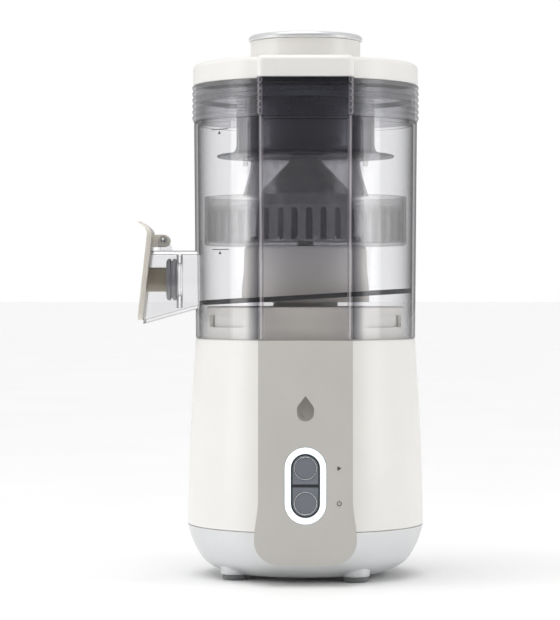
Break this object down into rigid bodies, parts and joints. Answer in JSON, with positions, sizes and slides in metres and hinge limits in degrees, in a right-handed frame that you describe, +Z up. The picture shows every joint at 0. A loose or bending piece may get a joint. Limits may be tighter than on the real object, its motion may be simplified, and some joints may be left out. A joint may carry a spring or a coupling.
{
  "type": "centrifugal juicer",
  "caption": "Tall countertop centrifugal juicer: white motor base, smoke-tinted bowl with a drip-stop spout, slotted filter basket, ribbed lid with feed chute, and a pusher.",
  "frame": {"origin": "on the motor's axis, at the plane of the feet's undersides", "axes": "+Z up along the motor's axis, -Y towards the button panel in front, -X towards the spout"},
  "size_m": [0.2126, 0.1849, 0.4],
  "materials": {
    "white_plastic": "satin gloss white",
    "silver": "satin silver paint",
    "greige": "satin warm grey",
    "light_ring": "frosted diffuser",
    "dark_plastic": "fine matt",
    "button_grey": "satin",
    "chrome": "polished",
    "grey_rubber": "matt",
    "black_rubber": "matt",
    "board": "solder mask",
    "steel": "satin",
    "laminated_steel": "laminated, varnished",
    "copper": "enamelled wire",
    "brass": "turned",
    "tinted": "smoke tinted, clear, polished",
    "clear_milky": "clear milky, polished",
    "light_grey": "satin",
    "dark_cone": "satin black",
    "cream": "satin",
    "plug_beige": "matt silicone",
    "plug_grey": "matt silicone"
  },
  "bodies": {
    "base": {"base_shell": "white_plastic", "bottom_cover": "silver", "cord_gland": "black_rubber", "foot_1": "grey_rubber", "foot_2": "grey_rubber", "foot_3": "grey_rubber", "foot_4": "grey_rubber", "deck_seal": "black_rubber", "interlock_switch": "dark_plastic", "front_panel": "greige", "light_ring": "light_ring", "button_frame": "dark_plastic", "control_board": "board", "start_switch": "dark_plastic", "power_switch": "dark_plastic", "mount_isolator_1": "black_rubber", "mount_isolator_2": "black_rubber", "mount_isolator_3": "black_rubber", "motor_upper_bracket": "steel", "motor_lower_bracket": "steel", "upper_bearing": "chrome", "lower_bearing": "chrome", "stator_core": "laminated_steel", "field_coil_front": "copper", "field_coil_rear": "copper", "brush_left": "dark_plastic", "brush_right": "dark_plastic"},
    "start_button": {"start_button": "button_grey", "start_button_trim": "chrome"},
    "power_button": {"power_button": "button_grey", "power_button_trim": "chrome"},
    "rotor": {"armature_core": "laminated_steel", "armature_winding": "copper", "commutator": "copper", "cooling_fan": "dark_plastic", "motor_shaft": "steel", "drive_coupling": "dark_plastic"},
    "bowl": {"juice_bowl": "tinted", "juice_floor": "light_grey", "floor_seal": "black_rubber", "spindle_bush": "brass", "spindle_seal": "black_rubber", "hinge_pin": "chrome", "flap_spring": "steel"},
    "spout_flap": {"spout_flap": "cream", "plug_seal": "plug_grey", "plug_stem": "plug_beige"},
    "basket": {"filter_basket": "clear_milky", "filter_mesh": "steel", "cutter_disc": "steel", "rotor_cone": "dark_cone", "basket_spindle": "dark_plastic"},
    "lid": {"lid_skirt": "clear_milky", "lid_cover": "white_plastic", "lid_seal": "grey_rubber", "hopper": "light_grey", "feed_chute": "dark_plastic", "feed_guide": "clear_milky"},
    "pusher": {"pusher_body": "white_plastic", "pusher_cap": "silver"}
  },
  "joints": [
    {"name": "bowl_lift", "type": "slide", "parent": "base", "child": "bowl", "axis": [0, 0, 1], "range_m": [0, 0.07]},
    {"name": "lid_lift", "type": "slide", "parent": "bowl", "child": "lid", "axis": [0, 0, 1], "range_m": [0, 0.1]},
    {"name": "pusher_slide", "type": "slide", "parent": "lid", "child": "pusher", "axis": [0, 0, 1], "range_m": [0, 0.08]},
    {"name": "flap_hinge", "type": "hinge", "parent": "bowl", "child": "spout_flap", "pos_m": [-0.1053, 0, 0.2478], "axis": [0, 1, 0], "range_deg": [0, 60], "stiffness_Nm_per_rad": 0.05, "springref_deg": -28.65},
    {"name": "start_press", "type": "slide", "parent": "base", "child": "start_button", "axis": [0, 0.9995, -0.0307], "range_m": [0, 0.0015], "stiffness_N_per_m": 400, "springref_m": -0.001},
    {"name": "power_press", "type": "slide", "parent": "base", "child": "power_button", "axis": [0, 0.9995, -0.0307], "range_m": [0, 0.0015], "stiffness_N_per_m": 400, "springref_m": -0.001},
    {"name": "rotor_spin", "type": "hinge", "parent": "base", "child": "rotor", "pos_m": [0, 0, 0.1], "axis": [0, 0, 1], "continuous": true},
    {"name": "basket_spin", "type": "hinge", "parent": "bowl", "child": "basket", "pos_m": [0, 0, 0.25], "axis": [0, 0, 1], "continuous": true}
  ],
  "couplings": [
    {"joint": "basket_spin", "follows": "rotor_spin", "ratio": 1}
  ]
}
